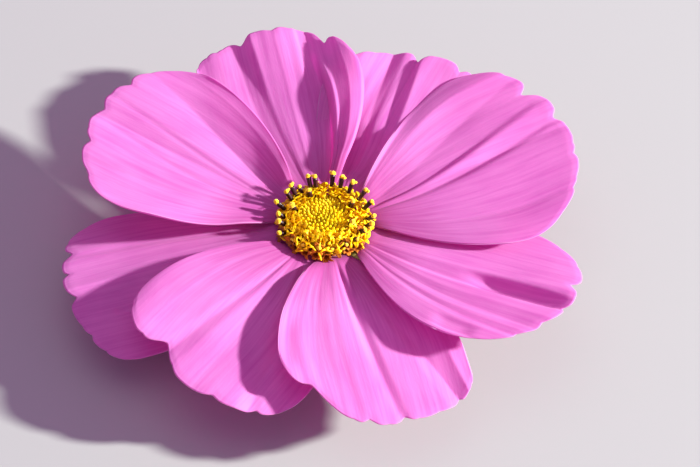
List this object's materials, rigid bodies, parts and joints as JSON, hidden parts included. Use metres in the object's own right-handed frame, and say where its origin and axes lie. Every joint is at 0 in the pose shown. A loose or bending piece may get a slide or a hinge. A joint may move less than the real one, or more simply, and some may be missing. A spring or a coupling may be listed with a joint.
{
  "type": "cosmos flower",
  "caption": "Open cosmos flower head lying face up: broad pleated petals with toothed ends round a small raised disc of florets, on a short stub of stalk with spreading bracts.",
  "frame": {"origin": "on the surface that the flower lies on, where the axis of the flower meets it, which is within half a millimetre of the middle of its footprint", "axes": "+Z is the axis of the flower, out of the disc; +X is to the right and +Y away from the viewer in the picture's view"},
  "size_m": [0.0786, 0.0775, 0.0163],
  "materials": {
    "petal": "satin",
    "disc_floret": "matt",
    "inner_bract": "satin",
    "green_stalk_and_bracts": "satin"
  },
  "bodies": {
    "root": {"stalk_and_outer_bracts": "green_stalk_and_bracts", "inner_bracts": "inner_bract", "disc_florets": "disc_floret", "petal_1": "petal", "petal_2": "petal", "petal_3": "petal", "petal_4": "petal", "petal_5": "petal", "petal_6": "petal", "petal_7": "petal", "petal_8": "petal"}
  },
  "joints": []
}
